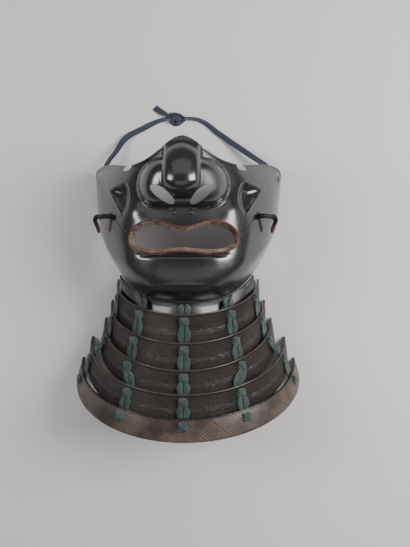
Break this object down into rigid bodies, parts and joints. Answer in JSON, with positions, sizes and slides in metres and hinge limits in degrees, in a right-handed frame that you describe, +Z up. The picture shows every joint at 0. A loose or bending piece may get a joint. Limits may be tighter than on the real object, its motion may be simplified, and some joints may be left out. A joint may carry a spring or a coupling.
{
  "type": "samurai face guard",
  "caption": "Lacquered iron half mask with a nose, an open mouth and ear flanges, with a throat guard of curved laced lames below the chin and a flat ribbon to tie it on.",
  "frame": {"origin": "Bottom centre of the mask and throat guard as they lie on a surface, without the loose ribbon.", "axes": "+Z up out of the face, +Y along the face from the throat guard towards the bridge of the nose, +X towards the picture's right side."},
  "size_m": [0.2034, 0.2903, 0.117],
  "materials": {
    "black_lacquer": "glossy black lacquer on iron",
    "red_and_gold_lacquer": "red line and dull gold band",
    "hook_iron": "dark lacquered iron, worn brown at the tips",
    "grained_leather": "brown-black lacquered leather with a wavy grain",
    "fret_leather": "worn brown lacquer with an engraved fret",
    "green_silk": "braided green silk",
    "blue_satin": "slate-blue satin"
  },
  "bodies": {
    "root": {"face_plate": "black_lacquer", "jaw_plate": "black_lacquer", "mouth_rim": "red_and_gold_lacquer", "rivet_left": "black_lacquer", "rivet_right": "black_lacquer", "cheek_hook_left": "hook_iron", "cheek_hook_right": "hook_iron", "collar": "black_lacquer", "lame_1": "grained_leather", "lame_2": "grained_leather", "lame_3": "grained_leather", "lame_4": "grained_leather", "lame_5": "fret_leather", "lace_0_mid_right": "green_silk", "lace_0_middle": "green_silk", "lace_0_mid_left": "green_silk", "lace_1_far_right": "green_silk", "lace_1_mid_right": "green_silk", "lace_1_middle": "green_silk", "lace_1_mid_left": "green_silk", "lace_1_far_left": "green_silk", "lace_2_far_right": "green_silk", "lace_2_mid_right": "green_silk", "lace_2_middle": "green_silk", "lace_2_mid_left": "green_silk", "lace_2_far_left": "green_silk", "lace_3_far_right": "green_silk", "lace_3_mid_right": "green_silk", "lace_3_middle": "green_silk", "lace_3_mid_left": "green_silk", "lace_3_far_left": "green_silk", "lace_4_far_right": "green_silk", "lace_4_mid_right": "green_silk", "lace_4_middle": "green_silk", "lace_4_mid_left": "green_silk", "lace_4_far_left": "green_silk", "lace_5_far_right": "green_silk", "lace_5_mid_right": "green_silk", "lace_5_middle": "green_silk", "lace_5_mid_left": "green_silk", "lace_5_far_left": "green_silk", "ribbon_left": "blue_satin", "ribbon_right": "blue_satin", "ribbon_tail": "blue_satin", "ribbon_knot": "blue_satin"}
  },
  "joints": []
}
